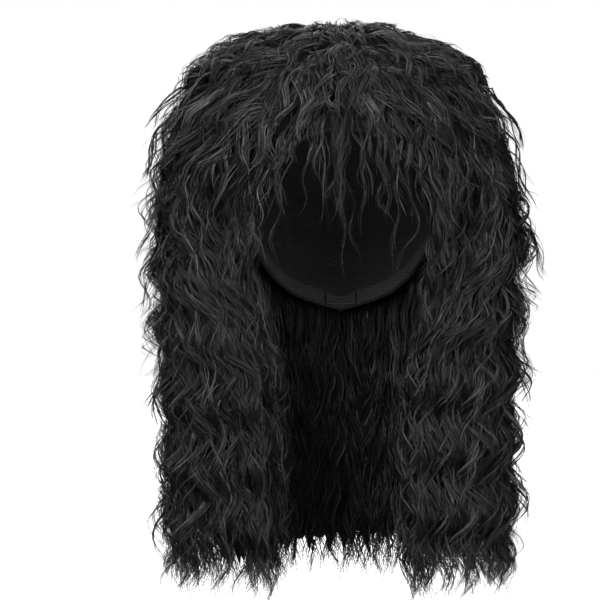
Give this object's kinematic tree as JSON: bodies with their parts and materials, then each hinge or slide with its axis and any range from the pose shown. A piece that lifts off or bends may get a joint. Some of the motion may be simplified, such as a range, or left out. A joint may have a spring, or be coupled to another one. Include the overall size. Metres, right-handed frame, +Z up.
{
  "type": "mullet wig",
  "caption": "Long curly black mullet wig: a cloth cap with a teased crown, choppy fringe, layered sides and crimped lengths that fall past the shoulders.",
  "frame": {"origin": "the point where the top of the wearer's head touches the inside of the cap", "axes": "+Z up out of the crown, the face looks along -Y, +X is the wearer's left"},
  "size_m": [0.2961, 0.2574, 0.4278],
  "materials": {
    "hair": "soft sheen of crimped synthetic fibre",
    "cap_cloth": "matt open weave with sewn rows",
    "elastic": "matt ribbed elastic"
  },
  "bodies": {
    "root": {"cap": "cap_cloth", "ear_tab_left": "cap_cloth", "ear_tab_right": "cap_cloth", "edge_band": "elastic", "nape_strap": "elastic", "crown_layer": "hair", "fringe": "hair", "side_layer_left": "hair", "side_layer_right": "hair", "back_layer": "hair", "front_length_left": "hair", "front_length_right": "hair", "side_length_left": "hair", "side_length_right": "hair", "back_length": "hair"}
  },
  "joints": []
}
